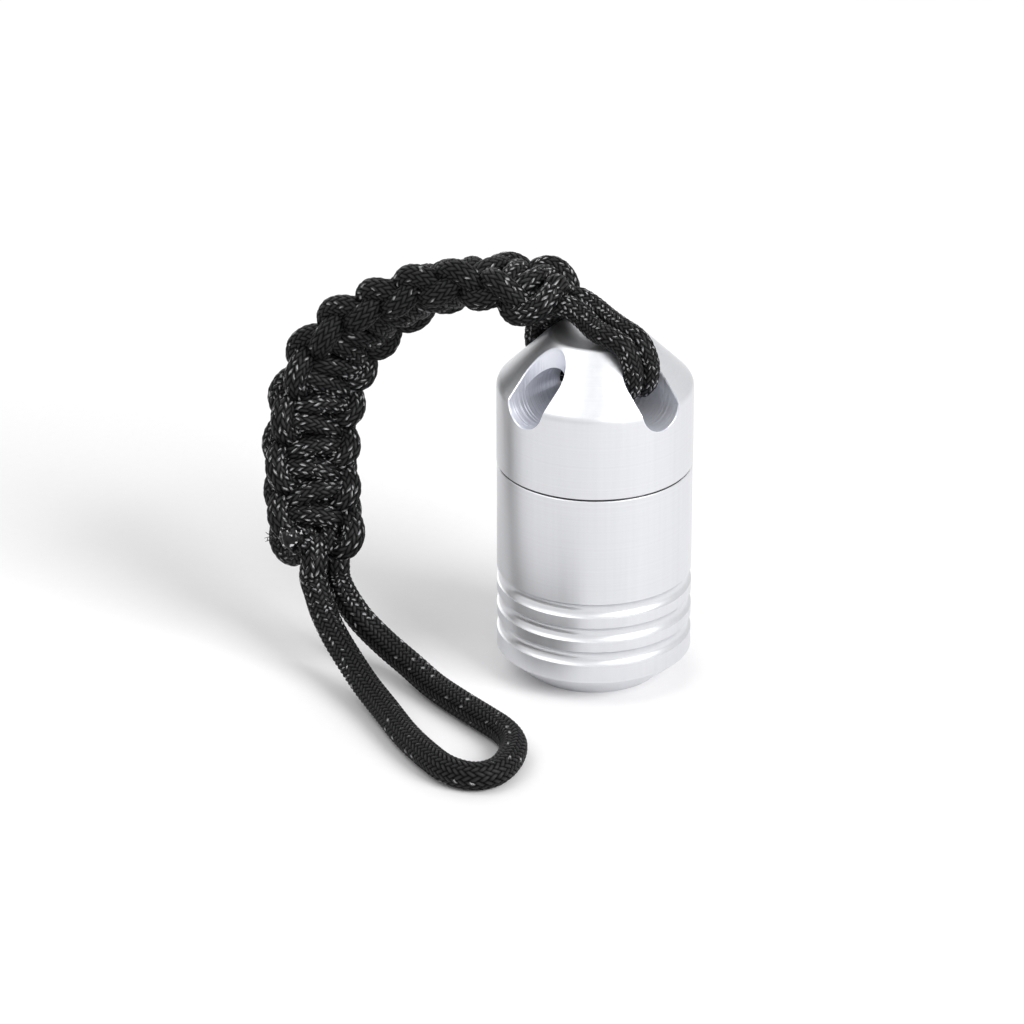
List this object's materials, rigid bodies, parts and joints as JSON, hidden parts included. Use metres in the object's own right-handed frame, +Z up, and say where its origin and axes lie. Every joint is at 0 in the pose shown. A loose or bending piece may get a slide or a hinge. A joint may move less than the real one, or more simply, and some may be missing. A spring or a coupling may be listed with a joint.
{
  "type": "waterproof capsule",
  "caption": "Turned aluminium capsule with a threaded, ring-sealed cap, grip grooves and a knotted black cord lanyard through slots in the cap.",
  "frame": {"origin": "centre of the foot that the capsule stands on", "axes": "+Z up the capsule's axis, -Y towards the viewer of the picture, +X to the viewer's right"},
  "size_m": [0.0574, 0.0565, 0.0566],
  "materials": {
    "turned_aluminium": "fine turned and bead blasted, clear anodised, satin",
    "seal_rubber": "moulded nitrile, lightly greased",
    "braided_cord": "braided black nylon sheath with glossy filaments",
    "melted_cord": "melted nylon, glossy and lumpy"
  },
  "bodies": {
    "tube": {"body": "turned_aluminium"},
    "seal": {"o_ring": "seal_rubber"},
    "lid": {"cap": "turned_aluminium", "lanyard_loop": "braided_cord", "knotted_band": "braided_cord", "left_core_strand": "braided_cord", "right_core_strand": "braided_cord", "left_working_strand": "braided_cord", "right_working_strand": "braided_cord", "left_melted_end": "melted_cord", "right_melted_end": "melted_cord"}
  },
  "joints": [
    {"name": "cap_turn", "type": "hinge", "parent": "tube", "child": "seal", "pos_m": [0, 0, 0.032], "axis": [0, 0, 1], "range_deg": [0, 1890]},
    {"name": "cap_rise", "type": "slide", "parent": "seal", "child": "lid", "axis": [0, 0, 1], "range_m": [0, 0.0066]}
  ],
  "couplings": [
    {"joint": "cap_rise", "follows": "cap_turn", "m_per_rad": 0.00019894}
  ]
}
